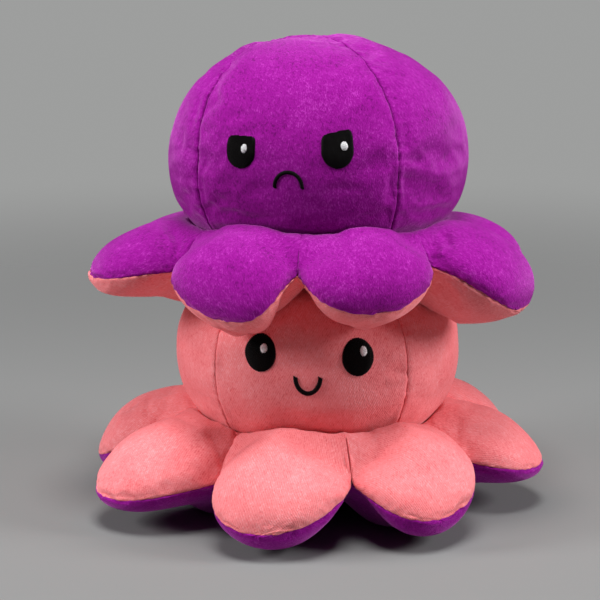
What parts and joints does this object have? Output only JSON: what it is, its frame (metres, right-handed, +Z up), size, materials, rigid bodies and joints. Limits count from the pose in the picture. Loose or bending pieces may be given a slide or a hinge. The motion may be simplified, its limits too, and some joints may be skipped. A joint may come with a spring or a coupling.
{
  "type": "plush octopus pair",
  "caption": "Reversible plush octopus with a frowning purple head, sitting on its smiling pink twin; bendable stuffed tentacles and a pocket under each head.",
  "frame": {"origin": "on the floor, under the middle of the lower toy", "axes": "+Z up through both heads, -Y towards the viewer and the faces, +X to the viewer's right"},
  "size_m": [0.2059, 0.2046, 0.2112],
  "materials": {
    "pink_plush": "short soft pile, matt with a pale sheen, fine ribs on the tentacles",
    "purple_plush": "short soft pile with brushed light and dark strokes",
    "black_thread": "dense satin stitch, faint silky shine",
    "white_thread": "satin stitch",
    "stuffing": "loose polyester fibre, hidden"
  },
  "bodies": {
    "lower_toy": {"lower_eye_left": "black_thread", "lower_eye_left_glint": "white_thread", "lower_eye_right": "black_thread", "lower_eye_right_glint": "white_thread", "lower_head_filling": "stuffing", "lower_head_panel_back": "pink_plush", "lower_head_panel_front": "pink_plush", "lower_head_panel_left": "pink_plush", "lower_head_panel_right": "pink_plush", "lower_mouth": "black_thread", "lower_pocket_lining": "purple_plush", "lower_skirt_top": "pink_plush", "lower_skirt_under": "purple_plush"},
    "upper_toy": {"upper_eye_left": "black_thread", "upper_eye_left_glint": "white_thread", "upper_eye_right": "black_thread", "upper_eye_right_glint": "white_thread", "upper_head_filling": "stuffing", "upper_head_panel_back": "purple_plush", "upper_head_panel_front": "purple_plush", "upper_head_panel_left": "purple_plush", "upper_head_panel_right": "purple_plush", "upper_mouth": "black_thread", "upper_pocket_lining": "pink_plush", "upper_skirt_top": "purple_plush", "upper_skirt_under": "pink_plush"},
    "lower_tentacle_1": {"lower_tentacle_1_top": "pink_plush", "lower_tentacle_1_under": "purple_plush"},
    "lower_tentacle_2": {"lower_tentacle_2_top": "pink_plush", "lower_tentacle_2_under": "purple_plush"},
    "lower_tentacle_3": {"lower_tentacle_3_top": "pink_plush", "lower_tentacle_3_under": "purple_plush"},
    "lower_tentacle_4": {"lower_tentacle_4_top": "pink_plush", "lower_tentacle_4_under": "purple_plush"},
    "lower_tentacle_5": {"lower_tentacle_5_top": "pink_plush", "lower_tentacle_5_under": "purple_plush"},
    "lower_tentacle_6": {"lower_tentacle_6_top": "pink_plush", "lower_tentacle_6_under": "purple_plush"},
    "lower_tentacle_7": {"lower_tentacle_7_top": "pink_plush", "lower_tentacle_7_under": "purple_plush"},
    "lower_tentacle_8": {"lower_tentacle_8_top": "pink_plush", "lower_tentacle_8_under": "purple_plush"},
    "upper_tentacle_1": {"upper_tentacle_1_top": "purple_plush", "upper_tentacle_1_under": "pink_plush"},
    "upper_tentacle_2": {"upper_tentacle_2_top": "purple_plush", "upper_tentacle_2_under": "pink_plush"},
    "upper_tentacle_3": {"upper_tentacle_3_top": "purple_plush", "upper_tentacle_3_under": "pink_plush"},
    "upper_tentacle_4": {"upper_tentacle_4_top": "purple_plush", "upper_tentacle_4_under": "pink_plush"},
    "upper_tentacle_5": {"upper_tentacle_5_top": "purple_plush", "upper_tentacle_5_under": "pink_plush"},
    "upper_tentacle_6": {"upper_tentacle_6_top": "purple_plush", "upper_tentacle_6_under": "pink_plush"},
    "upper_tentacle_7": {"upper_tentacle_7_top": "purple_plush", "upper_tentacle_7_under": "pink_plush"},
    "upper_tentacle_8": {"upper_tentacle_8_top": "purple_plush", "upper_tentacle_8_under": "pink_plush"}
  },
  "joints": [
    {"name": "upper_toy_lift", "type": "slide", "parent": "lower_toy", "child": "upper_toy", "axis": [0, 0, 1], "range_m": [0, 0.08]},
    {"name": "lower_tentacle_1_bend", "type": "hinge", "parent": "lower_toy", "child": "lower_tentacle_1", "pos_m": [-0.01289, -0.06064, 0.0455], "axis": [-0.9781, 0.2079, 0], "range_deg": [0, 45], "stiffness_Nm_per_rad": 0.01},
    {"name": "lower_tentacle_2_bend", "type": "hinge", "parent": "lower_toy", "child": "lower_tentacle_2", "pos_m": [0.03377, -0.052, 0.0455], "axis": [-0.8387, -0.5446, 0], "range_deg": [0, 45], "stiffness_Nm_per_rad": 0.01},
    {"name": "lower_tentacle_3_bend", "type": "hinge", "parent": "lower_toy", "child": "lower_tentacle_3", "pos_m": [0.06064, -0.01289, 0.0455], "axis": [-0.2079, -0.9781, 0], "range_deg": [0, 45], "stiffness_Nm_per_rad": 0.01},
    {"name": "lower_tentacle_4_bend", "type": "hinge", "parent": "lower_toy", "child": "lower_tentacle_4", "pos_m": [0.052, 0.03377, 0.0455], "axis": [0.5446, -0.8387, 0], "range_deg": [0, 45], "stiffness_Nm_per_rad": 0.01},
    {"name": "lower_tentacle_5_bend", "type": "hinge", "parent": "lower_toy", "child": "lower_tentacle_5", "pos_m": [0.01289, 0.06064, 0.0455], "axis": [0.9781, -0.2079, 0], "range_deg": [0, 45], "stiffness_Nm_per_rad": 0.01},
    {"name": "lower_tentacle_6_bend", "type": "hinge", "parent": "lower_toy", "child": "lower_tentacle_6", "pos_m": [-0.03377, 0.052, 0.0455], "axis": [0.8387, 0.5446, 0], "range_deg": [0, 45], "stiffness_Nm_per_rad": 0.01},
    {"name": "lower_tentacle_7_bend", "type": "hinge", "parent": "lower_toy", "child": "lower_tentacle_7", "pos_m": [-0.06064, 0.01289, 0.0455], "axis": [0.2079, 0.9781, 0], "range_deg": [0, 45], "stiffness_Nm_per_rad": 0.01},
    {"name": "lower_tentacle_8_bend", "type": "hinge", "parent": "lower_toy", "child": "lower_tentacle_8", "pos_m": [-0.052, -0.03377, 0.0455], "axis": [-0.5446, 0.8387, 0], "range_deg": [0, 45], "stiffness_Nm_per_rad": 0.01},
    {"name": "upper_tentacle_1_bend", "type": "hinge", "parent": "upper_toy", "child": "upper_tentacle_1", "pos_m": [-0.03053, -0.05396, 0.13316], "axis": [-0.8704, 0.4924, 0], "range_deg": [0, 45], "stiffness_Nm_per_rad": 0.01},
    {"name": "upper_tentacle_2_bend", "type": "hinge", "parent": "upper_toy", "child": "upper_tentacle_2", "pos_m": [0.01657, -0.05974, 0.13332], "axis": [-0.9636, -0.2672, 0], "range_deg": [0, 45], "stiffness_Nm_per_rad": 0.01},
    {"name": "upper_tentacle_3_bend", "type": "hinge", "parent": "upper_toy", "child": "upper_tentacle_3", "pos_m": [0.05396, -0.03053, 0.13194], "axis": [-0.4924, -0.8704, 0], "range_deg": [0, 45], "stiffness_Nm_per_rad": 0.01},
    {"name": "upper_tentacle_4_bend", "type": "hinge", "parent": "upper_toy", "child": "upper_tentacle_4", "pos_m": [0.05974, 0.01657, 0.12779], "axis": [0.2672, -0.9636, 0], "range_deg": [0, 45], "stiffness_Nm_per_rad": 0.01},
    {"name": "upper_tentacle_5_bend", "type": "hinge", "parent": "upper_toy", "child": "upper_tentacle_5", "pos_m": [0.03053, 0.05396, 0.1234], "axis": [0.8704, -0.4924, 0], "range_deg": [0, 45], "stiffness_Nm_per_rad": 0.01},
    {"name": "upper_tentacle_6_bend", "type": "hinge", "parent": "upper_toy", "child": "upper_tentacle_6", "pos_m": [-0.01657, 0.05974, 0.12264], "axis": [0.9636, 0.2672, 0], "range_deg": [0, 45], "stiffness_Nm_per_rad": 0.01},
    {"name": "upper_tentacle_7_bend", "type": "hinge", "parent": "upper_toy", "child": "upper_tentacle_7", "pos_m": [-0.05396, 0.03053, 0.12625], "axis": [0.4924, 0.8704, 0], "range_deg": [0, 45], "stiffness_Nm_per_rad": 0.01},
    {"name": "upper_tentacle_8_bend", "type": "hinge", "parent": "upper_toy", "child": "upper_tentacle_8", "pos_m": [-0.05974, -0.01657, 0.1309], "axis": [-0.2672, 0.9636, 0], "range_deg": [0, 45], "stiffness_Nm_per_rad": 0.01}
  ]
}
